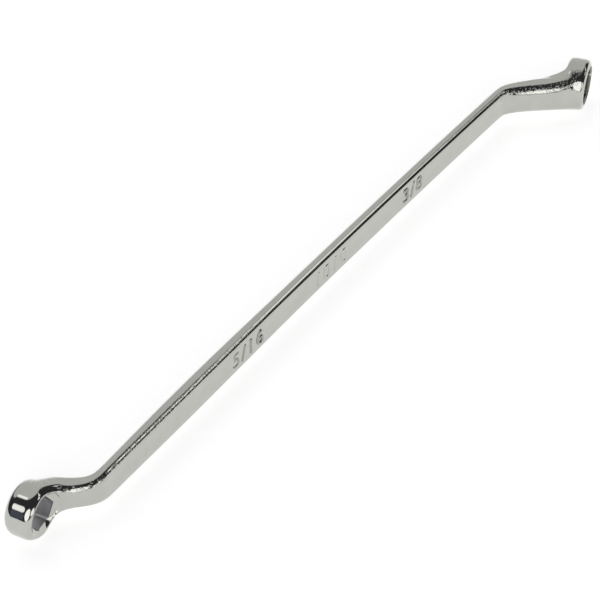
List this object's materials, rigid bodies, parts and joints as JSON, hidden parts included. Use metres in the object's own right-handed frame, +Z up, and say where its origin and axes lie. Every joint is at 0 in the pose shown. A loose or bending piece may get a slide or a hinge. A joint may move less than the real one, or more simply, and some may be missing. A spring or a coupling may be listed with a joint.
{
  "type": "brake bleeder wrench",
  "caption": "Slim forged wrench with a long flat shank and offset ring ends that have hexagon openings, chrome plated, for turning brake bleed screws.",
  "frame": {"origin": "under the middle of the wrench's bounding box, on the table it lies on", "axes": "+X along the shank towards the larger ring, +Z up and square to the plane of the bends, so the wrench lies on its side"},
  "size_m": [0.2352, 0.0322, 0.015],
  "materials": {
    "chrome": "bright plating over ground steel",
    "chrome_forged": "bright plating over a forged skin"
  },
  "bodies": {
    "root": {"shank": "chrome", "large_neck": "chrome_forged", "large_box_end": "chrome", "small_neck": "chrome_forged", "small_box_end": "chrome"}
  },
  "joints": []
}
